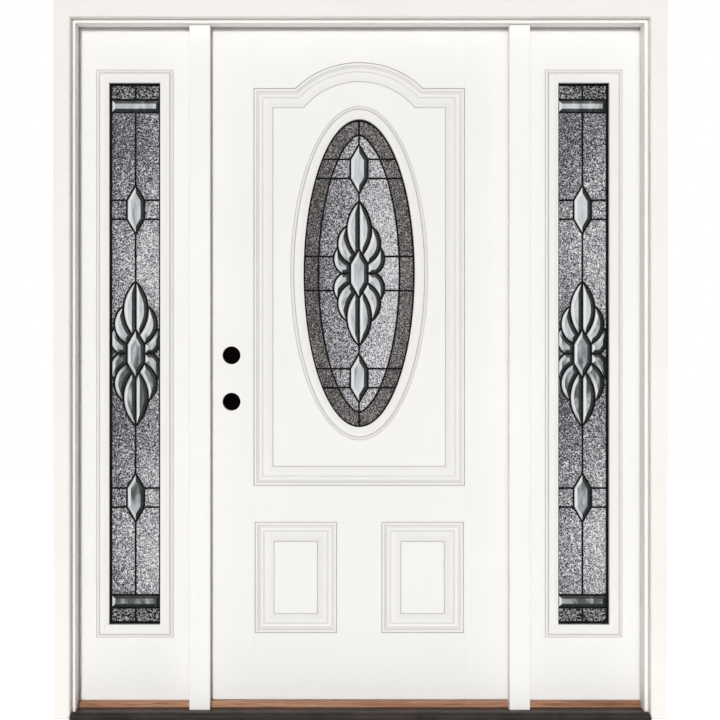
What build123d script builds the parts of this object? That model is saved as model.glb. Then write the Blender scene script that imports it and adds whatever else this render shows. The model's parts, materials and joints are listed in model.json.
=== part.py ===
from build123d import *
import math
import os

# Door leaf, in millimetres
slab_width = 908.0
slab_height = 2022.0
slab_thickness = 44.45
slab_bottom = 42.0
slab_face = 69.5
skin_thickness = 2.2
pad_depth = 13.5
pad_margin = 2.0
stile_width = 33.0
rail_height = 40.0
lock_bevel = 2.4
edge_gap = 5.2
seat_gap = 0.3

# Lock bores
bore_radius = 27.0
bore_backset = 69.85
lockset_height = 931.4
bore_spacing = 139.7
edge_bore_radius = 12.7
strike_bore_radius = 11.0
strike_bore_depth = 22.0
lock_block_margin = 110.0
lock_block_gap = 6.0

# Embossed panels of the leaf
upper_half = 318.0
upper_bottom = 678.5
upper_shoulder = 1875.0
upper_top = 1953.0
arch_radius = 277.0
lower_inner = 66.8
lower_outer = 314.5
lower_bottom = 236.0
lower_top = 570.0

# Panel moulding in turns down and up: inset from the panel edge, depth below the skin
moulding = [
    [(0.0, 0.0), (1.4, 4.2)],
    [(1.4, 4.2), (3.0, 1.2)],
    [(3.0, 1.2), (8.5, 2.0), (10.0, 5.0), (18.0, 9.2), (25.5, 10.8), (27.0, 12.6)],
    [(28.3, 12.6), (29.8, 9.4), (44.0, 5.8), (57.0, 1.8)],
    [(57.0, 1.8), (58.4, 4.0)],
    [(58.4, 4.0), (60.0, 0.0)],
]

# Glass lights: half sizes of the glass in view
oval_height = 1318.0
oval_a = 167.5
oval_b = 463.0
light_height = 1076.0
light_a = 76.8
light_b = 814.0
pane_setback = 9.6
pane_thickness = 3.2
pane_lap = 12.0
spacer_width = 4.0
leg_width = 18.7

# Moulded trim of a light in turns up and down: inset from its outer edge, height above the skin
trim_width = 40.0
trim_turns = [
    [(0.0, 0.0), (0.9, 4.2)],
    [(0.9, 4.2), (2.6, 1.6)],
    [(2.6, 1.6), (9.4, 4.4)],
    [(9.4, 4.4), (10.8, 2.0)],
    [(10.8, 2.0), (12.4, 6.0), (27.0, 9.0)],
    [(27.0, 9.0), (trim_width, 6.0)],
]

# Leaded glass
came_width = 5.7
came_depth = 7.0
border_came = 6.4
oval_border_came = 4.4
oval_border = 45.0
oval_arcs = 20
glass_thickness = 4.0
bevel_edge = 2.5
bevel_rise = 2.5
bevel_run = 9.0
jewel_tip = 74.0
jewel_shoulder = 28.8
jewel_half = 26.6
oval_jewel = 316.0
side_jewel = 434.7
bar_low = 728.5
bar_high = 767.0
cluster_tip = 218.5

# Frame, sill and trim
sidelite_width = 363.0
jamb_depth = 116.0
jamb_leg = 17.5
stop_width = 13.5
stop_depth = 58.0
mullion_web = 34.0
mullion_setback = 20.0
arris = 1.5
brickmould_width = 50.8
brickmould_depth = 32.0
brickmould_lap = 20.2
brickmould_inner_round = 7.0
brickmould_outer_round = 3.0
sill_top = 17.0
sill_nose = 45.0
sill_jamb_fall = 1.0
sill_nose_fall = 5.0
sill_nose_round = 4.0
deck_thickness = 2.6
rib_levels = [13.0, 23.0, 33.0]
rib_width = 3.2
rib_height = 1.2
cap_height = 18.0
cap_front = 50.0
cap_back = 112.0
cap_front_round = 7.0
cap_back_round = 3.0
strip_width = 8.0
strip_round = 2.5
strip_clearance = 0.5

# Sweep under the leaf
sweep_inset = 6.0
sweep_end = 4.0
sweep_plate = 2.5
fin_width = 2.0
fin_count = 3

# Butt hinges
hinge_height = 101.6
hinge_low = 305.0
hinge_high = 229.0
leaf_thickness = 2.4
leaf_setback = 10.5
leaf_round = 15.9
barrel_radius = 6.5
barrel_gap = 0.7
pin_radius = 3.0
pin_play = 0.05
pin_head_radius = 5.2
pin_head_height = 4.0
pin_offset = 10.0
knuckle_count = 5
knuckle_gap = 0.3

# Places that follow from these sizes
slab_half = slab_width / 2
slab_back = slab_face + slab_thickness
slab_top = slab_bottom + slab_height
slab_mid = (slab_face + slab_back) / 2
inner_front = slab_face + skin_thickness
inner_back = slab_back - skin_thickness
lock_edge = -slab_half + stile_width
hinge_edge = slab_half - stile_width
rabbet_x = slab_half + edge_gap
side_inner = rabbet_x + mullion_web
side_outer = side_inner + sidelite_width
side_mid = (side_inner + side_outer) / 2
unit_half = side_outer + jamb_leg
head_rabbet = slab_top + edge_gap
unit_top = head_rabbet + jamb_leg
brick_inner = unit_half - brickmould_lap
brick_outer = brick_inner + brickmould_width
brick_low = unit_top - brickmould_lap
brick_top = brick_low + brickmould_width
cap_top = sill_top + cap_height
pin_x = slab_half + edge_gap / 2
pin_y = slab_back + pin_offset
bore_x = -slab_half + bore_backset
deadbolt_height = lockset_height + bore_spacing
glass_front = slab_face + pane_setback
glass_back = slab_back - pane_setback
came_front = slab_mid - came_depth / 2
came_back = slab_mid + came_depth / 2


# Flat shapes are drawn in x and z, then stood at a depth y
def at_y(shape, y):
    return Plane.XZ.offset(-y) * shape


def prism(shape, y0, y1):
    front, back = sorted((y0, y1))
    return extrude(at_y(shape, back), amount=back - front)


def frustum(first, y0, second, y1):
    return loft([at_y(first, y0), at_y(second, y1)], ruled=True)


def rect(x0, x1, z0, z1):
    return Pos((x0 + x1) / 2, (z0 + z1) / 2) * Rectangle(x1 - x0, z1 - z0)


def block(x0, x1, y0, y1, z0, z1):
    return Pos((x0 + x1) / 2, (y0 + y1) / 2, (z0 + z1) / 2) * Box(x1 - x0, y1 - y0, z1 - z0)


def polygon(points):
    return make_face(Polyline(*points, close=True))


# A profile drawn in y and z, run along x
def along_x(profile, x0, x1):
    return extrude(Plane.YZ.offset(x0) * profile, amount=x1 - x0)


def corner(shape, x, y):
    return shape.vertices().sort_by_distance((x, y, 0))[0]


def oval(a, b):
    return Pos(0, oval_height) * Ellipse(a, b)


def flip(shape):
    return mirror(shape, Plane.YZ)


def save(name, *pieces):
    solids = [solid for piece in pieces for solid in piece.solids()]
    export_step(Compound(children=solids), f"parts/{name}.step")


# Outlines of the embossed panels at an inset from the panel edge
def arched_panel(inset):
    half = upper_half - inset
    low = upper_bottom + inset
    shoulder = upper_shoulder - inset
    radius = arch_radius - inset
    centre = upper_top - arch_radius
    chord = math.sqrt(radius ** 2 - (shoulder - centre) ** 2)
    sides = Polyline(
        (-chord, shoulder), (-half, shoulder), (-half, low),
        (half, low), (half, shoulder), (chord, shoulder),
    )
    arch = ThreePointArc((chord, shoulder), (0, centre + radius), (-chord, shoulder))
    return make_face(sides + arch)


def right_panel(inset):
    return rect(lower_inner + inset, lower_outer - inset, lower_bottom + inset, lower_top - inset)


def left_panel(inset):
    return rect(-lower_outer + inset, -lower_inner - inset, lower_bottom + inset, lower_top - inset)


panels = [arched_panel, right_panel, left_panel]


# One turn of the moulding as a solid, open to the face; way points from the face into the leaf
def moulding_turn(turn, outline, face, way):
    inset, depth = min(turn, key=lambda point: point[1])
    solid = prism(outline(inset), face - way, face + way * depth)
    for (t0, d0), (t1, d1) in zip(turn, turn[1:]):
        solid += frustum(outline(t0), face + way * d0, outline(t1), face + way * d1)
    return solid


# Groove round one raised panel: each turn down is dug, each turn up is left standing
def panel_groove(outline, face, way):
    groove = Part()
    for i in range(0, len(moulding), 2):
        groove += moulding_turn(moulding[i], outline, face, way)
        groove -= moulding_turn(moulding[i + 1], outline, face, way)
    return groove


# Holes through the leaf
def through(shape):
    return prism(shape, slab_face - pad_depth, slab_back + pad_depth)


def side_bore(x0, x1, radius, z):
    return Pos((x0 + x1) / 2, slab_mid, z) * Rot(0, 90, 0) * Cylinder(radius, x1 - x0)


hole_grow = leg_width + seat_gap
oval_hole = through(oval(oval_a + hole_grow, oval_b + hole_grow))
bore_levels = [lockset_height, deadbolt_height]
bores = Part() + [through(Pos(bore_x, z) * Circle(bore_radius)) for z in bore_levels]
edge_bores = Part() + [side_bore(-slab_half, bore_x, edge_bore_radius, z) for z in bore_levels]


# Embossed skins of the leaf
def door_skin(face, way, left):
    skin = prism(rect(left, slab_half, slab_bottom, slab_top), face, face + way * skin_thickness)
    for outline in panels:
        skin += prism(outline(-pad_margin), face, face + way * pad_depth)
    for outline in panels:
        skin -= panel_groove(outline, face, way)
    return skin - oval_hole - bores


exterior_skin = door_skin(slab_face, 1, -slab_half + lock_bevel)
interior_skin = door_skin(slab_back, -1, -slab_half)

# Stiles, rails, lock block and core between the skins
lock_plan = polygon([
    (-slab_half + lock_bevel, inner_front), (lock_edge, inner_front),
    (lock_edge, inner_back), (-slab_half, inner_back),
])
lock_stile = extrude(Pos(0, 0, slab_bottom) * lock_plan, amount=slab_height) - edge_bores
hinge_stile = block(hinge_edge, slab_half, inner_front, inner_back, slab_bottom, slab_top)
rail_top = slab_bottom + rail_height
rail_low = slab_top - rail_height
top_rail = block(lock_edge, hinge_edge, inner_front, inner_back, rail_low, slab_top)
bottom_rail = block(lock_edge, hinge_edge, inner_front, inner_back, slab_bottom, rail_top)
lock_block = block(
    lock_edge, -upper_half - lock_block_gap, inner_front, inner_back,
    lockset_height - lock_block_margin, deadbolt_height + lock_block_margin,
)
door_core = block(lock_edge, hinge_edge, inner_front, inner_back, rail_top, rail_low)
door_core -= lock_block + oval_hole
for outline in panels:
    door_core -= prism(outline(-pad_margin), slab_face, slab_face + pad_depth)
    door_core -= prism(outline(-pad_margin), slab_back - pad_depth, slab_back)
lock_block -= bores + edge_bores

# Butt hinges on the inside at the right
hinge_levels = [slab_bottom + hinge_low, 0, slab_top - hinge_high]
hinge_levels[1] = (hinge_levels[0] + hinge_levels[2]) / 2
leaf_front = slab_face + leaf_setback
leaf_back = pin_y - barrel_radius - barrel_gap
knuckle_height = hinge_height / knuckle_count


def leaf_plate(x, z, back):
    plate = rect(leaf_front, back, z - hinge_height / 2, z + hinge_height / 2)
    ends = [corner(plate, leaf_front, z + end * hinge_height / 2) for end in (-1, 1)]
    return along_x(fillet(ends, leaf_round), x, x + leaf_thickness)


def hinge_leaf(x, z, first):
    leaf = leaf_plate(x, z, leaf_back)
    for i in range(first, knuckle_count, 2):
        low = z - hinge_height / 2 + i * knuckle_height + knuckle_gap / 2
        high = low + knuckle_height - knuckle_gap
        leaf += block(x, x + leaf_thickness, leaf_back - barrel_radius, pin_y, low, high)
        leaf += Pos(pin_x, pin_y, (low + high) / 2) * Cylinder(barrel_radius, high - low)
    return leaf - Pos(pin_x, pin_y, z) * Cylinder(pin_radius + pin_play, 2 * hinge_height)


def hinge_pin(z):
    head = z + (hinge_height - knuckle_gap + pin_head_height) / 2
    pin = Pos(pin_x, pin_y, z) * Cylinder(pin_radius, hinge_height)
    return pin + Pos(pin_x, pin_y, head) * Cylinder(pin_head_radius, pin_head_height)


frame_leaves = [hinge_leaf(rabbet_x, z, 0) for z in hinge_levels]
door_leaves = [hinge_leaf(slab_half - leaf_thickness, z, 1) for z in hinge_levels]
pins = [hinge_pin(z) for z in hinge_levels]
for z in hinge_levels:
    mortise = leaf_plate(slab_half - leaf_thickness, z, slab_back)
    hinge_stile -= mortise
    interior_skin -= mortise

# Sweep under the leaf, its fins just clear of the cap
sweep_half = slab_half - sweep_end
sweep_front = slab_face + sweep_inset
sweep_back = slab_back - sweep_inset
fin_top = slab_bottom - sweep_plate
fin_low = cap_top + strip_clearance
fin_step = (sweep_back - sweep_front - fin_width) / (fin_count - 1)
sweep = block(-sweep_half, sweep_half, sweep_front, sweep_back, fin_top, slab_bottom)
for i in range(fin_count):
    fin = sweep_front + i * fin_step
    sweep += block(-sweep_half, sweep_half, fin, fin + fin_width, fin_low, fin_top)


# Sill: a metal deck over a base, with the nose between the brickmould legs
def sill_profile(inset):
    nose = -sill_nose + inset
    top = sill_top - inset
    return polygon([
        (jamb_depth, 0), (jamb_depth, top), (cap_front, top), (0, top - sill_jamb_fall),
        (-sill_nose + sill_nose_round, top - sill_nose_fall),
        (nose, sill_top - sill_nose_fall - sill_nose_round), (nose, 0),
    ])


sill = along_x(sill_profile(0), -unit_half, unit_half)
sill_base = along_x(sill_profile(deck_thickness), -unit_half, unit_half)
sill_deck = sill - sill_base
deck_slope = (sill_nose_fall - sill_jamb_fall) / (sill_nose - sill_nose_round)
rib_half = rib_width / 2
for y in rib_levels:
    z = sill_top - sill_jamb_fall - y * deck_slope
    rib = rect(-brick_inner, brick_inner, z - rib_height, z + rib_height)
    sill_deck += prism(rib, -y - rib_half, -y + rib_half)
nose_room = block(brick_inner - seat_gap, unit_half, -sill_nose, 0, 0, sill_top)
sill_deck -= nose_room + flip(nose_room)
sill_base -= nose_room + flip(nose_room)

# Jambs, mullions and head with their stops
jamb_front = side_outer - stop_width
jamb_plan = polygon([
    (side_outer, stop_depth), (jamb_front, stop_depth), (jamb_front, 0),
    (unit_half, 0), (unit_half, jamb_depth), (side_outer, jamb_depth),
])
jamb_plan = fillet([corner(jamb_plan, jamb_front, 0)], arris)
door_stop = rabbet_x - stop_width
side_stop = side_inner + stop_width
mullion_plan = polygon([
    (rabbet_x, jamb_depth), (rabbet_x, stop_depth), (door_stop, stop_depth),
    (door_stop, mullion_setback), (side_stop, mullion_setback),
    (side_stop, stop_depth), (side_inner, stop_depth), (side_inner, jamb_depth),
])
mullion_corners = [corner(mullion_plan, x, mullion_setback) for x in (door_stop, side_stop)]
mullion_plan = fillet(mullion_corners, arris)
head_stop = head_rabbet - stop_width
head_profile = polygon([
    (0, head_stop), (stop_depth, head_stop), (stop_depth, head_rabbet),
    (jamb_depth, head_rabbet), (jamb_depth, unit_top), (0, unit_top),
])
head_profile = fillet([corner(head_profile, 0, head_stop)], arris)
head_jamb = along_x(head_profile, -unit_half, unit_half)
right_jamb = extrude(jamb_plan, amount=head_rabbet) - head_jamb - sill
mullion = extrude(mullion_plan, amount=head_rabbet) - head_jamb - sill
hinge_mullion = mullion - [leaf_plate(rabbet_x, z, jamb_depth) for z in hinge_levels]
strike_mullion = flip(mullion) - [
    side_bore(-rabbet_x - strike_bore_depth, -rabbet_x, strike_bore_radius, z) for z in bore_levels
]

# Brickmould with mitred top corners; across runs from its inner to its outer edge
mould_profile = rect(0, brickmould_width, 0, brickmould_depth)
mould_profile = fillet([corner(mould_profile, 0, brickmould_depth)], brickmould_inner_round)
outer_corner = corner(mould_profile, brickmould_width, brickmould_depth)
mould_profile = fillet([outer_corner], brickmould_outer_round)
leg_mitre = polygon([
    (brick_inner, 0), (brick_outer, 0),
    (brick_outer, brick_top), (brick_inner, brick_low),
])
leg_plane = Plane((brick_inner, 0, 0), x_dir=(1, 0, 0), z_dir=(0, 0, -1))
right_brickmould = extrude(leg_plane * mould_profile, amount=-brick_top)
right_brickmould &= prism(leg_mitre, -brickmould_depth, 0)
head_mitre = polygon([
    (-brick_inner, brick_low), (brick_inner, brick_low),
    (brick_outer, brick_top), (-brick_outer, brick_top),
])
head_plane = Plane((-brick_outer, 0, brick_low), x_dir=(0, 0, 1), z_dir=(1, 0, 0))
head_brickmould = extrude(head_plane * mould_profile, amount=2 * brick_outer)
head_brickmould &= prism(head_mitre, -brickmould_depth, 0)

# Caps on the sill, one per bay, coped round the stops
cap_profile = rect(cap_front, cap_back, sill_top, cap_top)
cap_profile = fillet([corner(cap_profile, cap_front, cap_top)], cap_front_round)
cap_profile = fillet([corner(cap_profile, cap_back, cap_top)], cap_back_round)
door_cap = along_x(cap_profile, -rabbet_x, rabbet_x) - mullion - flip(mullion)
side_cap = along_x(cap_profile, side_inner, side_outer) - mullion - right_jamb


# Weatherstrips in the corners of the stops, reaching to the leaf or the sidelite
def strip_profile(reach):
    strip = rect(-strip_width, 0, stop_depth, reach)
    return fillet([corner(strip, -strip_width, reach)], strip_round)


def upright(x, turn, reach):
    strip = extrude(Pos(0, 0, cap_top) * strip_profile(reach), amount=head_rabbet - strip_width - cap_top)
    return Pos(x, 0, 0) * turn(strip)


def header(x0, x1, reach):
    plane = Plane((x0, 0, head_rabbet), x_dir=(0, 0, 1), z_dir=(-1, 0, 0))
    return extrude(plane * strip_profile(reach), amount=x0 - x1)


def keep(shape):
    return shape


door_reach = slab_face - strip_clearance
door_strips = [
    upright(rabbet_x, keep, door_reach), upright(-rabbet_x, flip, door_reach),
    header(-rabbet_x, rabbet_x, door_reach),
]
side_strips = [
    upright(side_outer, keep, slab_face), upright(side_inner, flip, slab_face),
    header(side_inner, side_outer, slab_face),
]


# Outlines of the lights at an inset from the outer edge of their trim
def oval_outline(inset):
    grow = trim_width - inset
    return oval(oval_a + grow, oval_b + grow)


def light_outline(inset):
    half = light_a + trim_width - inset
    tall = light_b + trim_width - inset
    return rect(side_mid - half, side_mid + half, light_height - tall, light_height + tall)


# Sidelite skins and core round the light
side_shape = rect(side_inner, side_outer, cap_top, head_rabbet) - light_outline(trim_width - hole_grow)
side_skins = [prism(side_shape, slab_face, inner_front), prism(side_shape, inner_back, slab_back)]
side_core = prism(side_shape, inner_front, inner_back)


# Moulded trim with a leg that holds the glass; way points from the face into the leaf
def trim_turn(turn, outline, face, way):
    solid = Part()
    for (t0, h0), (t1, h1) in zip(turn, turn[1:]):
        solid += frustum(outline(t0), face - way * h0, outline(t1), face - way * h1)
    return solid


def light_trim(outline, face, way, glass):
    trim = prism(outline(trim_width - leg_width), face, glass)
    for i in range(0, len(trim_turns), 2):
        trim += trim_turn(trim_turns[i], outline, face, way)
        trim -= trim_turn(trim_turns[i + 1], outline, face, way)
    inset, height = trim_turns[-1][-1]
    return trim - prism(outline(inset), face - way * height, glass)


def both_trims(outline):
    outside = light_trim(outline, slab_face, 1, glass_front)
    return [outside, light_trim(outline, slab_back, -1, glass_back)]


# Clear panes and the spacer between them
def panes(outline):
    edge = outline(trim_width - pane_lap)
    front = prism(edge, glass_front, glass_front + pane_thickness)
    return [front, prism(edge, glass_back - pane_thickness, glass_back)]


def spacer(outline):
    ring = outline(trim_width - pane_lap) - outline(trim_width - pane_lap + spacer_width)
    return prism(ring, glass_front + pane_thickness, glass_back - pane_thickness)


# Cames as flat strips, drawn about the centre of their glass
def bar(p, q):
    run = math.hypot(q[0] - p[0], q[1] - p[1])
    turn = math.degrees(math.atan2(q[1] - p[1], q[0] - p[0]))
    return Pos((p[0] + q[0]) / 2, (p[1] + q[1]) / 2) * Rot(0, 0, turn) * Rectangle(run, came_width)


def bow(p, m, q):
    line = ThreePointArc(p, m, q)
    centre = line.arc_center
    radius = line.radius

    def beside(point, shift):
        return centre + (Vector(*point) - centre) * ((radius + shift) / radius)

    w = came_width / 2
    edge = ThreePointArc(*[beside(point, w) for point in (p, m, q)]) + Line(beside(q, w), beside(q, -w))
    edge += ThreePointArc(*[beside(point, -w) for point in (q, m, p)]) + Line(beside(p, -w), beside(p, w))
    return make_face(edge)


def jewel(z):
    shape = polygon([
        (0, z + jewel_tip), (jewel_half, z + jewel_shoulder), (jewel_half, z - jewel_shoulder),
        (0, z - jewel_tip), (-jewel_half, z - jewel_shoulder), (-jewel_half, z + jewel_shoulder),
    ])
    outside = offset(shape, came_width / 2, kind=Kind.INTERSECTION)
    return outside - offset(shape, -came_width / 2, kind=Kind.INTERSECTION)


# Petals round the centre jewel; each point is mirrored into four quarters
tall_petal = [(0, cluster_tip), (36.7, 144.0), (10.0, 57.0)]
wide_petal = [(36.7, 144.0), (64.4, 99.0), (jewel_half, 30.0)]
low_petal = [(63.5, 79.0), (76.5, 51.5), (52.7, 0.0)]
petal_spots = [(15.0, 138.0), (44.0, 85.0), (53.0, 30.0)]
quarters = [(sx, sz) for sx in (-1, 1) for sz in (-1, 1)]


def in_quarter(points, sx, sz):
    return [(sx * x, sz * z) for x, z in points]


def cluster():
    cames = [jewel(0)]
    for sx, sz in quarters:
        for petal in (tall_petal, wide_petal, low_petal):
            cames.append(bow(*in_quarter(petal, sx, sz)))
        cames.append(bar(*in_quarter([(0, jewel_tip), (0, cluster_tip)], sx, sz)))
        cames.append(bar(*in_quarter([(jewel_half, 0), low_petal[-1]], sx, sz)))
    return cames


bevel_spots = [(0, 0)] + [spot for sx, sz in quarters for spot in in_quarter(petal_spots, sx, sz)]


def split_cells(cells, spots):
    bevels = [cell for cell in cells if any(cell.is_inside((x, z, 0)) for x, z in spots)]
    return bevels, [cell for cell in cells if cell not in bevels]


# Oval that keeps one distance inside the light, as a chain of arcs
def inside_oval(inset):
    points = []
    for i in range(2 * oval_arcs + 1):
        turn = math.pi * i / oval_arcs
        normal = Vector(math.cos(turn) / oval_a, math.sin(turn) / oval_b).normalized()
        points.append(Vector(oval_a * math.cos(turn), oval_b * math.sin(turn)) - normal * inset)
    return make_face(Curve() + [ThreePointArc(*points[i:i + 3]) for i in range(0, 2 * oval_arcs, 2)])


# Leaded glass of the oval
oval_edge_grow = pane_lap - spacer_width - seat_gap
oval_edge = Ellipse(oval_a + oval_edge_grow, oval_b + oval_edge_grow)
oval_clear = Ellipse(oval_a - oval_border_came, oval_b - oval_border_came)
inner_oval = inside_oval(oval_border - came_width / 2)
inner_clear = inside_oval(oval_border + came_width / 2)
oval_cames = cluster() + [jewel(oval_jewel), jewel(-oval_jewel)]
for sx, sz in quarters:
    low_bulge = low_petal[1]
    oval_cames.append(bar(*in_quarter([(0, cluster_tip), (0, oval_jewel - jewel_tip)], sx, sz)))
    oval_cames.append(bar(*in_quarter([(0, oval_jewel + jewel_tip), (0, oval_b)], sx, sz)))
    oval_cames.append(bar(*in_quarter([low_bulge, (oval_a, low_bulge[1])], sx, sz)))
    for level in (oval_jewel - jewel_shoulder, oval_jewel + jewel_shoulder):
        oval_cames.append(bar(*in_quarter([(jewel_half, level), (oval_a, level)], sx, sz)))
oval_bars = (Sketch() + oval_cames) & oval_edge
oval_lattice = oval_bars + (inner_oval - inner_clear) + (oval_edge - oval_clear)
oval_border_cells = (oval_clear - inner_oval - oval_bars).faces()
oval_spots = bevel_spots + [(0, oval_jewel), (0, -oval_jewel)]
oval_bevel_cells, oval_field_cells = split_cells((inner_clear - oval_bars).faces(), oval_spots)

# Leaded glass of a sidelite
light_edge = Rectangle(2 * (light_a + oval_edge_grow), 2 * (light_b + oval_edge_grow))
light_clear = Rectangle(2 * (light_a - border_came), 2 * (light_b - border_came))
side_cames = cluster() + [jewel(side_jewel), jewel(-side_jewel)]
for sx, sz in quarters:
    side_cames.append(bar(*in_quarter([(0, cluster_tip), (0, side_jewel - jewel_tip)], sx, sz)))
    side_cames.append(bar(*in_quarter([(0, side_jewel + jewel_tip), (0, bar_low)], sx, sz)))
    side_cames.append(bar(*in_quarter([(0, bar_high), (0, light_b)], sx, sz)))
    for level in (bar_low, bar_high):
        side_cames.append(bar(*in_quarter([(0, level), (light_a, level)], sx, sz)))
    for level in (side_jewel - jewel_shoulder, side_jewel + jewel_shoulder):
        side_cames.append(bar(*in_quarter([(jewel_half, level), (light_a, level)], sx, sz)))
side_lattice = ((Sketch() + side_cames) & light_edge) + (light_edge - light_clear)
side_spots = bevel_spots + [(0, side_jewel), (0, -side_jewel)]
bar_mid = (bar_low + bar_high) / 2
side_spots += [(0, bar_mid), (0, -bar_mid)]
side_bevel_cells, side_glass_cells = split_cells((light_clear - side_lattice).faces(), side_spots)


# Glass pieces cut to the cells, flat or with bevelled fronts
cell_front = slab_mid - glass_thickness / 2
cell_back = slab_mid + glass_thickness / 2
bevel_foot = cell_back - bevel_edge
bevel_slope = math.degrees(math.atan(bevel_run / bevel_rise))


def flat_pieces(cells, x, z):
    return [prism(Pos(x, z) * cell, cell_front, cell_back) for cell in cells]


def bevelled_pieces(cells, x, z):
    pieces = []
    for cell in cells:
        crown = extrude(at_y(Pos(x, z) * cell, bevel_foot), amount=bevel_rise, taper=bevel_slope)
        pieces.append(prism(Pos(x, z) * cell, bevel_foot, cell_back) + crown)
    return pieces


oval_caming = prism(Pos(0, oval_height) * oval_lattice, came_front, came_back)
oval_border_glass = flat_pieces(oval_border_cells, 0, oval_height)
oval_field = flat_pieces(oval_field_cells, 0, oval_height)
oval_bevels = bevelled_pieces(oval_bevel_cells, 0, oval_height)
side_caming = prism(Pos(side_mid, light_height) * side_lattice, came_front, came_back)
side_glass = flat_pieces(side_glass_cells, side_mid, light_height)
side_bevels = bevelled_pieces(side_bevel_cells, side_mid, light_height)

# One file per node
os.makedirs("parts", exist_ok=True)
save("head_jamb", head_jamb)
save("strike_mullion", strike_mullion)
save("hinge_mullion", hinge_mullion)
save("head_brickmould", head_brickmould)
save("sill_deck", sill_deck)
save("sill_base", sill_base)
save("door_cap", door_cap)
save("door_weatherstrips", *door_strips)
save("sidelite_gaskets", *side_strips, *[flip(strip) for strip in side_strips])
save("frame_hinge_leaves", *frame_leaves)
save("hinge_pins", *pins)
for side, turn in (("right", keep), ("left", flip)):
    save(f"{side}_jamb", turn(right_jamb))
    save(f"{side}_brickmould", turn(right_brickmould))
    save(f"{side}_sidelite_cap", turn(side_cap))
    save(f"{side}_sidelite_skins", *[turn(skin) for skin in side_skins])
    save(f"{side}_sidelite_core", turn(side_core))
    save(f"{side}_sidelite_trims", *[turn(trim) for trim in both_trims(light_outline)])
    save(f"{side}_sidelite_panes", *[turn(pane) for pane in panes(light_outline)])
    save(f"{side}_sidelite_spacer", turn(spacer(light_outline)))
    save(f"{side}_sidelite_caming", turn(side_caming))
    save(f"{side}_sidelite_glass", *[turn(piece) for piece in side_glass])
    save(f"{side}_sidelite_bevels", *[turn(piece) for piece in side_bevels])
save("door_exterior_skin", exterior_skin)
save("door_interior_skin", interior_skin)
save("lock_stile", lock_stile)
save("hinge_stile", hinge_stile)
save("top_rail", top_rail)
save("bottom_rail", bottom_rail)
save("lock_block", lock_block)
save("door_core", door_core)
save("oval_trims", *both_trims(oval_outline))
save("oval_panes", *panes(oval_outline))
save("oval_spacer", spacer(oval_outline))
save("oval_caming", oval_caming)
save("oval_field_glass", *oval_field)
save("oval_border_glass", *oval_border_glass)
save("oval_bevels", *oval_bevels)
save("door_hinge_leaves", *door_leaves)
save("door_sweep", sweep)
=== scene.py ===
import bmesh
import bpy
import json
import math
from mathutils import Matrix, Vector


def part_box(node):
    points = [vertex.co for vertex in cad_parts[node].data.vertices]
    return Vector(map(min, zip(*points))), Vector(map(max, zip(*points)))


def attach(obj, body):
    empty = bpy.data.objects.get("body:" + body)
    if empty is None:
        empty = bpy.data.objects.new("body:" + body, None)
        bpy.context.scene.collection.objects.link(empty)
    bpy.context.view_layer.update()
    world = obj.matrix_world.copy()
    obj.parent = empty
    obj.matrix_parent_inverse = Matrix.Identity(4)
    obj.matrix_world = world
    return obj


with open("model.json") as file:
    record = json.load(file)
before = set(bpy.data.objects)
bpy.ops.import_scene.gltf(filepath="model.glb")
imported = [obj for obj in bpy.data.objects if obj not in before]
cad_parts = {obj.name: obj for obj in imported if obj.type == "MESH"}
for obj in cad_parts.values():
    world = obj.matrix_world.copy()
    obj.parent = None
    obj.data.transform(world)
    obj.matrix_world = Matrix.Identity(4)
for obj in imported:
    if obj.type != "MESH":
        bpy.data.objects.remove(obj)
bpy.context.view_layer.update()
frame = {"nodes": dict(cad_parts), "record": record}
nodes = frame["nodes"]
scene = bpy.context.scene
scene.view_settings.view_transform = "Standard"

# Photograph's camera: level, a little left of the middle, with the frame shifted to the whole unit
IMAGE = 720
CAMERA_PLACE = (-0.142, -4.46, 1.072)
CAMERA_LENS = 75.3
SHIFT_X = 48 / IMAGE
SHIFT_Y = -5 / IMAGE


def photo_camera():
    data = bpy.data.cameras.new("photo_camera")
    data.lens = CAMERA_LENS
    data.shift_x = SHIFT_X
    data.shift_y = SHIFT_Y
    camera = bpy.data.objects.new("photo_camera", data)
    camera.location = CAMERA_PLACE
    camera.rotation_euler = (math.radians(90), 0, 0)
    scene.collection.objects.link(camera)
    scene.camera = camera


# Node helpers: sockets in, sockets out
def linear(red, green, blue):
    return tuple(((c / 255 + 0.055) / 1.055) ** 2.4 for c in (red, green, blue)) + (1.0,)


def link(tree, source, target):
    tree.links.new(source, target)
    return source


def surface(name, roughness, **values):
    material = bpy.data.materials.new(name)
    material.use_nodes = True
    shader = material.node_tree.nodes["Principled BSDF"]
    shader.inputs["Roughness"].default_value = roughness
    for socket, value in values.items():
        shader.inputs[socket.replace("_", " ").title().replace("Ior", "IOR")].default_value = value
    return material, material.node_tree, shader


def place(tree, stretch=(1, 1, 1)):
    coordinates = tree.nodes.new("ShaderNodeTexCoord")
    mapping = tree.nodes.new("ShaderNodeMapping")
    mapping.inputs["Scale"].default_value = stretch
    link(tree, coordinates.outputs["Object"], mapping.inputs["Vector"])
    return mapping.outputs["Vector"]


def noise(tree, scale, stretch=(1, 1, 1), detail=3.0, distortion=0.0):
    node = tree.nodes.new("ShaderNodeTexNoise")
    node.inputs["Scale"].default_value = scale
    node.inputs["Detail"].default_value = detail
    node.inputs["Distortion"].default_value = distortion
    link(tree, place(tree, stretch), node.inputs["Vector"])
    return node.outputs["Fac"]


def cells(tree, scale, stretch=(1, 1, 1), feature="F1"):
    node = tree.nodes.new("ShaderNodeTexVoronoi")
    node.feature = feature
    node.inputs["Scale"].default_value = scale
    link(tree, place(tree, stretch), node.inputs["Vector"])
    return node.outputs["Distance"]


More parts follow.
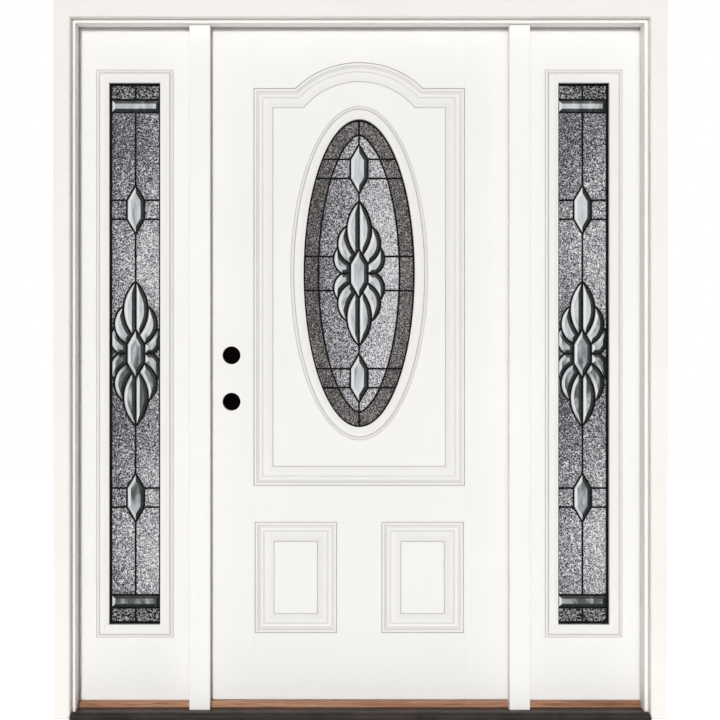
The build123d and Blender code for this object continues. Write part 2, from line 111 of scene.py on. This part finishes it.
def ramp(tree, factor, *stops):
    node = tree.nodes.new("ShaderNodeValToRGB")
    points = node.color_ramp.elements
    while len(points) < len(stops):
        points.new(0.5)
    for point, (position, colour) in zip(points, stops):
        point.position = position
        point.color = colour
    link(tree, factor, node.inputs["Fac"])
    return node.outputs["Color"]


def span(tree, value, from_low, from_high, to_low, to_high):
    node = tree.nodes.new("ShaderNodeMapRange")
    for socket, number in zip(node.inputs[1:5], (from_low, from_high, to_low, to_high)):
        socket.default_value = number
    link(tree, value, node.inputs["Value"])
    return node.outputs["Result"]


# A noise, which lies mostly in this band, stretched to run from low to high
NOISE_BAND = (0.3, 0.7)


def vary(tree, value, low, high):
    return span(tree, value, *NOISE_BAND, low, high)


def maths(tree, operation, first, second=0.0):
    node = tree.nodes.new("ShaderNodeMath")
    node.operation = operation
    for socket, value in zip(node.inputs, (first, second)):
        if isinstance(value, (int, float)):
            socket.default_value = value
        else:
            link(tree, value, socket)
    return node.outputs["Value"]


def blend(tree, factor, first, second, mode="MIX"):
    node = tree.nodes.new("ShaderNodeMix")
    node.data_type = "RGBA"
    node.blend_type = mode
    for socket, value in ((node.inputs[0], factor), (node.inputs[6], first), (node.inputs[7], second)):
        if isinstance(value, (int, float, tuple)):
            socket.default_value = value
        else:
            link(tree, value, socket)
    return node.outputs[2]


def bump(tree, shader, *layers):
    normal = None
    for height, strength, distance in layers:
        node = tree.nodes.new("ShaderNodeBump")
        node.inputs["Strength"].default_value = strength
        node.inputs["Distance"].default_value = distance
        link(tree, height, node.inputs["Height"])
        if normal:
            link(tree, normal, node.inputs["Normal"])
        normal = node.outputs["Normal"]
    link(tree, normal, shader.inputs["Normal"])


# Painted shade: grooves and inner corners darkened in the colour where ambient occlusion finds them closed
# in
PAINTED_SHADE = linear(214, 210, 207)
WARM_PAINTED_SHADE = linear(212, 201, 196)
SHADE_REACH = 0.008
SHADE_BAND = (0.15, 0.85)
SATIN = 0.12


def crevice_shade(tree, colour, shade_colour):
    # Ambient occlusion picks out the grooves and corners that get painted shade
    node = tree.nodes.new("ShaderNodeAmbientOcclusion")
    node.inputs["Distance"].default_value = SHADE_REACH
    unshaded_share = span(tree, node.outputs["AO"], *SHADE_BAND, 0.0, 1.0)
    return blend(tree, unshaded_share, shade_colour, colour)


# Smooth moulded fiberglass, with a faint roller texture and clouding, and painted shade on its slopes,
# grooves and inner corners
SKIN_LIGHT = linear(249, 248, 246)
SKIN_DARK = linear(247, 246, 244)
# Painted shade on moulded slopes: full share past steep facing, none at flat facing
SLOPE_STEEP = 0.9
SLOPE_FLAT = 0.995
SLOPE_SHADE_SHARE = 0.5
ROLLER_GRAIN = 700.0


def skin_base(name):
    material, tree, shader = surface(name, 0.5, specular_ior_level=SATIN)
    clouds = ramp(tree, noise(tree, 2.6, detail=5.0), (0.35, SKIN_DARK), (0.65, SKIN_LIGHT))
    link(tree, vary(tree, noise(tree, 9.0), 0.45, 0.58), shader.inputs["Roughness"])
    # Painted shade: slopes, then grooves and inner corners, darkened in the colour
    return material, tree, shader, crevice_shade(tree, blend(tree, slope_shade(tree), clouds, PAINTED_SHADE), PAINTED_SHADE)


# Share of painted shade on moulded slopes, standing in for the lesser light they catch: none where the skin
# faces straight out or in
def slope_shade(tree):
    coordinates = tree.nodes.new("ShaderNodeTexCoord")
    split = tree.nodes.new("ShaderNodeSeparateXYZ")
    link(tree, coordinates.outputs["Normal"], split.inputs["Vector"])
    facing = maths(tree, "ABSOLUTE", split.outputs["Y"])
    return span(tree, facing, SLOPE_STEEP, SLOPE_FLAT, SLOPE_SHADE_SHARE, 0.0)


def plain_skin():
    material, tree, shader, colour = skin_base("white_fiberglass")
    link(tree, colour, shader.inputs["Base Color"])
    grain = noise(tree, ROLLER_GRAIN, detail=2.0)
    bump(tree, shader, (grain, 0.05, 0.0006), (noise(tree, 30.0), 0.03, 0.002))
    return material


# Faint joint lines of stiles and rails that continue the panel edges
LINE_HALF = 0.0013
LINE_SHADE = linear(226, 225, 222)
LINE_WEIGHT = 0.35
PANEL_HALF = 0.3165
RAIL_LEVELS = (0.236, 0.57, 0.6785)


def line_at(tree, value, place_at):
    away = maths(tree, "ABSOLUTE", maths(tree, "SUBTRACT", value, place_at))
    return span(tree, away, 0.0, LINE_HALF, 1.0, 0.0)


def jointed_skin():
    material, tree, shader, colour = skin_base("door_skin")
    split = tree.nodes.new("ShaderNodeSeparateXYZ")
    link(tree, place(tree), split.inputs["Vector"])
    across = maths(tree, "ABSOLUTE", split.outputs["X"])
    lines = line_at(tree, across, PANEL_HALF)
    inside = maths(tree, "LESS_THAN", across, PANEL_HALF)
    for level in RAIL_LEVELS:
        rail = maths(tree, "MULTIPLY", line_at(tree, split.outputs["Z"], level), inside)
        lines = maths(tree, "MAXIMUM", lines, rail)
    shade = maths(tree, "MULTIPLY", lines, LINE_WEIGHT)
    link(tree, blend(tree, shade, colour, LINE_SHADE), shader.inputs["Base Color"])
    grain = noise(tree, ROLLER_GRAIN, detail=2.0)
    bump(tree, shader, (grain, 0.05, 0.0006), (maths(tree, "SUBTRACT", 1.0, lines), 0.25, 0.0006))
    return material


# Satin paint on wood, with brush marks along the length and warm painted shade in its grooves and inner
# corners
def paint(name, light, dark, run):
    material, tree, shader = surface(name, 0.5, specular_ior_level=SATIN)
    clouds = ramp(tree, noise(tree, 3.0, detail=4.0), (0.3, dark), (0.7, light))
    # Painted shade, warm toned, in grooves and inner corners
    link(tree, crevice_shade(tree, clouds, WARM_PAINTED_SHADE), shader.inputs["Base Color"])
    link(tree, vary(tree, noise(tree, 14.0, run), 0.45, 0.6), shader.inputs["Roughness"])
    bump(tree, shader, (noise(tree, 260.0, run, 4.0), 0.07, 0.0008), (noise(tree, 900.0), 0.03, 0.0004))
    return material


# Wood with grain along one axis
def wood(name, dark, middle, light, stretch, roughness, coat):
    material, tree, shader = surface(name, roughness, coat_weight=coat, coat_roughness=0.25)
    rings = noise(tree, 38.0, stretch, 6.0, 0.6)
    pores = noise(tree, 320.0, stretch, 3.0)
    figure = ramp(tree, rings, (0.3, dark), (0.5, middle), (0.72, light))
    shade = ramp(tree, pores, (0.36, linear(120, 110, 100)), (0.52, (1.0, 1.0, 1.0, 1.0)))
    link(tree, blend(tree, 0.55, figure, shade, "MULTIPLY"), shader.inputs["Base Color"])
    link(tree, span(tree, rings, 0.2, 0.8, roughness + 0.12, roughness - 0.08), shader.inputs["Roughness"])
    bump(tree, shader, (pores, 0.16, 0.0007), (rings, 0.08, 0.0012))
    return material


def foam(name, light, dark, scale, roughness):
    material, tree, shader = surface(name, roughness)
    pits = cells(tree, scale)
    link(tree, ramp(tree, pits, (0.1, dark), (0.6, light)), shader.inputs["Base Color"])
    dull = vary(tree, noise(tree, 40.0), roughness - 0.08, roughness + 0.05)
    link(tree, dull, shader.inputs["Roughness"])
    bump(tree, shader, (pits, 0.3, 0.0008))
    return material


# Metals with fine drawn lines, cloudy finish and rubbed spots
def metal(name, dark, light, stretch, roughness, metallic):
    material, tree, shader = surface(name, roughness, metallic=metallic)
    drawn = noise(tree, 220.0, stretch, 5.0)
    clouds = noise(tree, 11.0, detail=5.0)
    tone = maths(tree, "ADD", maths(tree, "MULTIPLY", drawn, 0.5), maths(tree, "MULTIPLY", clouds, 0.5))
    link(tree, ramp(tree, tone, (0.36, dark), (0.64, light)), shader.inputs["Base Color"])
    link(tree, span(tree, tone, 0.35, 0.65, roughness + 0.12, roughness - 0.08), shader.inputs["Roughness"])
    bump(tree, shader, (drawn, 0.08, 0.0005))
    return material


# Black patina on lead, dull, with rubbed spots
def patina():
    material, tree, shader = surface("black_came", 0.6, specular_ior_level=0.15)
    rubbed = noise(tree, 130.0, detail=4.0)
    tone = ramp(tree, rubbed, (0.45, linear(5, 4, 4)), (0.8, linear(28, 27, 26)))
    link(tree, tone, shader.inputs["Base Color"])
    link(tree, vary(tree, rubbed, 0.7, 0.5), shader.inputs["Roughness"])
    bump(tree, shader, (rubbed, 0.15, 0.0008))
    return material


# Painted glints: bright winding lines along one level of a noise
def winding_lines(tree, scale):
    level = maths(tree, "SUBTRACT", noise(tree, scale, detail=0.5, distortion=0.5), 0.5)
    return span(tree, maths(tree, "ABSOLUTE", level), 0.02, 0.1, 1.0, 0.0)


# Painted light: slow light and dark up a tall light, painted in for the sky and ground that show through it
WAVE_PEAK = 1.362
WAVE_LENGTH = 0.832


def slow_wave(tree, height, lift):
    turn = maths(tree, "MULTIPLY", maths(tree, "SUBTRACT", height, WAVE_PEAK), math.tau / WAVE_LENGTH)
    return maths(tree, "MULTIPLY", maths(tree, "COSINE", turn), lift)


# Textured glass, its tones painted light for the light seen through and glinting off it: short bright worms
# of painted glint on a darker ground, painted lighter to the right of its own middle, with coarser painted
# lines in the end cells of a tall light
LIGHT_MIDDLE = 1.076
END_CELL = 0.767
END_SCALE = 0.8
END_DARK = linear(20, 18, 19)
END_LIGHT = linear(192, 192, 194)
FLECK = 0.3
FLECK_SCALE = 1.7
DRIFT = 0.08
LEAN_REACH = 0.1
TONE_TOP = 1.2
TONE_STOPS = (0.0, 0.36, 1.0)


def grain_glass(name, tones, scale, middle, lean, lift):
    material, tree, shader = surface(name, 0.2, specular_ior_level=0.3)
    split = tree.nodes.new("ShaderNodeSeparateXYZ")
    link(tree, place(tree), split.inputs["Vector"])
    worms = winding_lines(tree, scale)
    flecks = span(tree, noise(tree, scale * FLECK_SCALE, detail=1.0), 0.35, 0.65, -FLECK, FLECK)
    drift = span(tree, noise(tree, 6.5, detail=1.0), 0.35, 0.65, -DRIFT, DRIFT)
    aside = maths(tree, "SUBTRACT", split.outputs["X"], middle)
    side = span(tree, aside, -LEAN_REACH, LEAN_REACH, -lean, lean)
    # Painted light: lighter to one side, and the slow wave of sky and ground
    glow = maths(tree, "ADD", side, slow_wave(tree, split.outputs["Z"], lift))
    height = maths(tree, "ABSOLUTE", maths(tree, "SUBTRACT", split.outputs["Z"], LIGHT_MIDDLE))
    tone = maths(tree, "ADD", maths(tree, "ADD", worms, flecks), maths(tree, "ADD", drift, glow))
    colour = ramp(tree, span(tree, tone, 0.0, TONE_TOP, 0.0, 1.0), *zip(TONE_STOPS, tones))
    # Painted light in the end cells: coarser worms of glint on a dark ground
    coarse = ramp(tree, winding_lines(tree, scale * END_SCALE), (0.3, END_DARK), (1.0, END_LIGHT))
    ends = maths(tree, "GREATER_THAN", height, END_CELL)
    link(tree, blend(tree, ends, colour, coarse), shader.inputs["Base Color"])
    link(tree, span(tree, worms, 0.0, 1.0, 0.35, 0.15), shader.inputs["Roughness"])
    bump(tree, shader, (worms, 0.4, 0.001))
    return material


# Polished bevelled glass with painted light: each facet is painted bright or dark by the way it slopes, for
# the view it bends, and in the tall lights the flats below the skyline are painted darker for the ground
# they show
SKYLINE = 1.1
SKYLINE_BLUR = 0.08
BEND_LEVEL = -1.5
BEND_UP = 0.3
BEND_RIGHT = -2.2


def bevel_glass(name, ground):
    material, tree, shader = surface(name, 0.06, ior=1.52)
    coordinates = tree.nodes.new("ShaderNodeTexCoord")
    slope = tree.nodes.new("ShaderNodeSeparateXYZ")
    link(tree, coordinates.outputs["Normal"], slope.inputs["Vector"])
    # Painted light and shade by the facet's slope
    upright = maths(tree, "MULTIPLY", maths(tree, "ABSOLUTE", slope.outputs["Z"]), BEND_LEVEL)
    tilt = maths(tree, "ADD", upright, maths(tree, "MULTIPLY", slope.outputs["Z"], BEND_UP))
    tilt = maths(tree, "ADD", tilt, maths(tree, "MULTIPLY", slope.outputs["X"], BEND_RIGHT))
    spot = tree.nodes.new("ShaderNodeSeparateXYZ")
    link(tree, place(tree), spot.inputs["Vector"])
    view = span(tree, spot.outputs["Z"], SKYLINE - SKYLINE_BLUR, SKYLINE + SKYLINE_BLUR, -ground, 0.0)
    streaks = vary(tree, noise(tree, 34.0, (1.0, 1.0, 0.4), 2.0, 1.0), 0.36, 0.66)
    tone = ramp(
        tree, maths(tree, "ADD", maths(tree, "ADD", tilt, view), streaks),
        (0.0, linear(38, 44, 43)), (0.26, linear(92, 99, 100)), (0.48, linear(204, 207, 212)),
        (0.75, linear(240, 243, 244)), (1.0, linear(252, 253, 253)),
    )
    link(tree, tone, shader.inputs["Base Color"])
    link(tree, vary(tree, noise(tree, 60.0), 0.04, 0.12), shader.inputs["Roughness"])
    bump(tree, shader, (streaks, 0.1, 0.002))
    return material


def clear_glass():
    material, tree, shader = surface("clear_glass", 0.04, alpha=0.04, ior=1.5)
    smears = noise(tree, 7.0, (1.0, 1.0, 0.5), 5.0)
    tone = ramp(tree, smears, (0.4, linear(40, 46, 44)), (0.7, linear(62, 68, 66)))
    link(tree, tone, shader.inputs["Base Color"])
    link(tree, span(tree, smears, 0.4, 0.75, 0.02, 0.09), shader.inputs["Roughness"])
    bump(tree, shader, (noise(tree, 3.0), 0.01, 0.002))
    return material


# Finishes by slot; nodes that differ from the rest of their slot are special
# Glass tones: painted light, from dark ground through mid tone to bright glint
FIELD_TONES = (linear(66, 64, 70), linear(190, 187, 195), linear(255, 255, 255))
SIDE_TONES = (linear(46, 46, 54), linear(140, 138, 148), linear(255, 255, 255))
BORDER_TONES = (linear(36, 31, 31), linear(66, 60, 59), linear(206, 199, 198))
SIDELITES = {"left": -0.6747, "right": 0.6747}
# Sidelite glass: grain scale, then painted lean, painted wave of sky and ground, and painted darker ground
# in the bevels
SIDE_GRAIN = 155.0
SIDE_LEAN = 0.27
SIDE_LIFT = 0.2
SIDE_GROUND = 0.2
PINE = (linear(176, 132, 84), linear(206, 164, 112), linear(226, 190, 140))
OAK = (linear(136, 92, 66), linear(180, 130, 100), linear(206, 158, 126))
UP = (1.0, 1.0, 0.04)
SIDEWAYS = (0.04, 1.0, 1.0)
finishes = {
    "white_fiberglass": plain_skin(),
    "white_paint": paint("white_paint", linear(254, 251, 247), linear(250, 246, 242), UP),
    "ivory_paint": paint("ivory_paint", linear(255, 254, 250), linear(252, 250, 245), UP),
    "bare_pine": wood("bare_pine", *PINE, UP, 0.6, 0.0),
    "foam": foam("foam", linear(238, 226, 186), linear(214, 198, 150), 420.0, 0.8),
    "bronze_metal": metal("bronze_metal", linear(36, 29, 28), linear(62, 53, 50), SIDEWAYS, 0.45, 0.4),
    "composite": foam("composite", linear(150, 144, 138), linear(112, 108, 104), 260.0, 0.7),
    "oak": wood("oak", *OAK, SIDEWAYS, 0.45, 0.2),
    "black_foam": foam("black_foam", linear(52, 47, 43), linear(34, 31, 29), 500.0, 0.75),
    "clear_glass": clear_glass(),
    "spacer_metal": metal("spacer_metal", linear(120, 121, 122), linear(176, 177, 178), UP, 0.4, 0.9),
    "black_came": patina(),
    "field_glass": grain_glass("field_glass", FIELD_TONES, 175.0, -0.02, 0.29, 0.0),
    "border_glass": grain_glass("border_glass", BORDER_TONES, 200.0, 0.0, 0.04, 0.0),
    "bevel_glass": bevel_glass("bevel_glass", 0.0),
    "hinge_steel": metal("hinge_steel", linear(172, 168, 160), linear(206, 202, 195), UP, 0.32, 0.95),
}
door_skin = jointed_skin()
special = {
    "door_exterior_skin": door_skin,
    "door_interior_skin": door_skin,
    "door_sweep": foam("white_vinyl", linear(251, 250, 248), linear(246, 245, 242), 500.0, 0.5),
}
for side, middle in SIDELITES.items():
    node = side + "_sidelite_glass"
    special[node] = grain_glass(node, SIDE_TONES, SIDE_GRAIN, middle, SIDE_LEAN, SIDE_LIFT)
    node = side + "_sidelite_bevels"
    special[node] = bevel_glass(node, SIDE_GROUND)
for part in frame["record"]["subparts"]:
    finish = special.get(part["node"], finishes[part["material_slot"]])
    for slot in nodes[part["node"]].material_slots:
        slot.material = finish


# Hinge screws: countersunk heads with a cross recess
SCREW_RADIUS = 0.0046
SCREW_RIM = 0.0038
SCREW_PROUD = 0.0003
CROSS_ARM = 0.0023
CROSS_HALF = 0.0006
CROSS_DEPTH = 0.0011
CROSS_TAPER = 0.6
SCREW_SIDES = 32
SCREW_LEVELS = (-0.0365, -0.013, 0.013, 0.0365)
SCREW_STEP = 0.0055


def ring(mesh, radius, depth):
    turns = [2 * math.pi * i / SCREW_SIDES for i in range(SCREW_SIDES)]
    return [mesh.verts.new((radius * math.cos(t), radius * math.sin(t), depth)) for t in turns]


def loop_edges(mesh, points):
    return [mesh.edges.get(pair) for pair in zip(points, points[1:] + points[:1])]


def walls(mesh, upper, lower):
    for i in range(len(upper)):
        j = (i + 1) % len(upper)
        mesh.faces.new((upper[i], lower[i], lower[j], upper[j]))


def cross(mesh, arm, half, depth):
    quarter = [(arm, -half), (arm, half), (half, half)]
    points = []
    for i in range(4):
        turn = Matrix.Rotation(math.radians(90 * i), 2)
        points += [turn @ Vector(p) for p in quarter]
    return [mesh.verts.new((p.x, p.y, depth)) for p in points]


def screw(mesh, matrix):
    start = len(mesh.verts)
    rim = ring(mesh, SCREW_RIM, SCREW_PROUD)
    foot = ring(mesh, SCREW_RADIUS, 0.0)
    slot = cross(mesh, CROSS_ARM, CROSS_HALF, SCREW_PROUD)
    pit = cross(mesh, CROSS_ARM * CROSS_TAPER, CROSS_HALF * CROSS_TAPER, SCREW_PROUD - CROSS_DEPTH)
    walls(mesh, rim, foot)
    walls(mesh, slot, pit)
    mesh.faces.new(pit)
    bmesh.ops.triangle_fill(mesh, use_beauty=True, edges=loop_edges(mesh, rim) + loop_edges(mesh, slot))
    mesh.verts.ensure_lookup_table()
    bmesh.ops.transform(mesh, matrix=matrix, verts=mesh.verts[start:])


def hinge_screws(name, body, node, facing):
    low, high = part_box(node)
    levels = [low[2] + HINGE / 2, (low[2] + high[2]) / 2, high[2] - HINGE / 2]
    mesh = bmesh.new()
    turn = Matrix.Rotation(math.radians(90 * facing), 4, "Y")
    for level in levels:
        for i, step in enumerate(SCREW_LEVELS):
            depth = LEAF_MIDDLE + (SCREW_STEP if i % 2 else -SCREW_STEP)
            spot = Vector((LEAF_FACE[facing], depth, level + step))
            screw(mesh, Matrix.Translation(spot) @ turn)
    bmesh.ops.recalc_face_normals(mesh, faces=mesh.faces)
    data = bpy.data.meshes.new(name)
    mesh.to_mesh(data)
    mesh.free()
    data.materials.append(finishes["hinge_steel"])
    piece = bpy.data.objects.new(name, data)
    scene.collection.objects.link(piece)
    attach(piece, body)


HINGE = 0.1016
LEAF_MIDDLE = 0.0975
LEAF_FACE = {1: 0.454, -1: 0.4592}
hinge_screws("door_hinge_screws", "door", "door_hinge_leaves", 1)
hinge_screws("frame_hinge_screws", "frame", "frame_hinge_leaves", -1)


# Floor, and dark stage discs that stand for the dark room behind the bores
def stage_mesh(name, vertices, material):
    data = bpy.data.meshes.new(name)
    data.from_pydata(vertices, [], [range(len(vertices))])
    data.materials.append(material)
    piece = bpy.data.objects.new(name, data)
    scene.collection.objects.link(piece)
    return piece


FLOOR_HALF = 9.0
FLOOR_GLOW = 0.86
FLOOR_DARK = linear(246, 246, 246)
FLOOR_LIGHT = linear(252, 252, 252)


# Pale floor: white to the camera, less where the object shades it
def floor_finish():
    material, tree, shader = surface("floor", 0.8)
    tone = ramp(tree, noise(tree, 1.2, detail=4.0), (0.3, FLOOR_DARK), (0.7, FLOOR_LIGHT))
    link(tree, tone, shader.inputs["Base Color"])
    path = tree.nodes.new("ShaderNodeLightPath")
    shader.inputs["Emission Color"].default_value = (1.0, 1.0, 1.0, 1.0)
    glow = maths(tree, "MULTIPLY", path.outputs["Is Camera Ray"], FLOOR_GLOW)
    link(tree, glow, shader.inputs["Emission Strength"])
    return material


# Darkness behind a bore, seen from the front only
def dark_finish():
    material, tree, shader = surface("dark_room", 0.9, specular_ior_level=0.0)
    tone = ramp(tree, noise(tree, 40.0), (0.3, linear(6, 4, 4)), (0.7, linear(14, 10, 10)))
    link(tree, tone, shader.inputs["Base Color"])
    geometry = tree.nodes.new("ShaderNodeNewGeometry")
    link(tree, maths(tree, "SUBTRACT", 1.0, geometry.outputs["Backfacing"]), shader.inputs["Alpha"])
    return material


corners = ((-1, -1), (1, -1), (1, 1), (-1, 1))
stage_mesh("floor", [(x * FLOOR_HALF, y * FLOOR_HALF, 0.0) for x, y in corners], floor_finish())
BORE_SIDES = 48
BORE_RADIUS = 0.0268
DARK_DEPTH = 0.1
dark = dark_finish()
for mount in frame["record"]["mounts"]:
    if mount["kind"] == "bore":
        x, _, z = mount["pos_m"]
        turns = [2 * math.pi * i / BORE_SIDES for i in range(BORE_SIDES)]
        rim = [(x + BORE_RADIUS * math.cos(t), DARK_DEPTH, z + BORE_RADIUS * math.sin(t)) for t in turns]
        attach(stage_mesh("dark_behind_" + mount["name"], rim, dark), "door")

# World: soft white studio, seen as white by the camera and in gloss and glass
AMBIENT = 0.16


def studio_world():
    world = bpy.data.worlds.new("studio")
    world.use_nodes = True
    scene.world = world
    tree = world.node_tree
    background = tree.nodes["Background"]
    path = tree.nodes.new("ShaderNodeLightPath")
    seen = path.outputs["Is Camera Ray"]
    for output in ("Is Glossy Ray", "Is Transmission Ray"):
        seen = maths(tree, "MAXIMUM", seen, path.outputs[output])
    background.inputs["Color"].default_value = (1.0, 1.0, 1.0, 1.0)
    link(tree, span(tree, seen, 0.0, 1.0, AMBIENT, 1.0), background.inputs["Strength"])


def aim(light, spot):
    light.visible_glossy = False
    light.location = spot
    light.rotation_euler = (MIDDLE - Vector(spot)).to_track_quat("-Z", "Y").to_euler()
    scene.collection.objects.link(light)


# Far soft lights, even over the whole unit
def sun(name, spot, width, strength):
    data = bpy.data.lights.new(name, "SUN")
    data.angle = math.radians(width)
    data.energy = strength
    aim(bpy.data.objects.new(name, data), spot)


def lamp(name, spot, size, power):
    data = bpy.data.lights.new(name, "AREA")
    data.shape = "SQUARE"
    data.size = size
    data.energy = power
    aim(bpy.data.objects.new(name, data), spot)


photo_camera()
studio_world()
MIDDLE = Vector((0.0, 0.06, 1.06))
# Suns: place, width in degrees, strength; lamps: place, size, power
LAMP_SIZE = 2.6
LAMP_POWER = 240.0
sun("key", (-1.0, -8.6, 2.3), 7.0, 2.08)
sun("back", (2.4, 8.0, 4.6), 16.0, 1.1)
lamp("left", (-7.0, 2.6, 2.4), LAMP_SIZE, LAMP_POWER)
lamp("right", (7.0, 2.6, 2.4), LAMP_SIZE, LAMP_POWER)
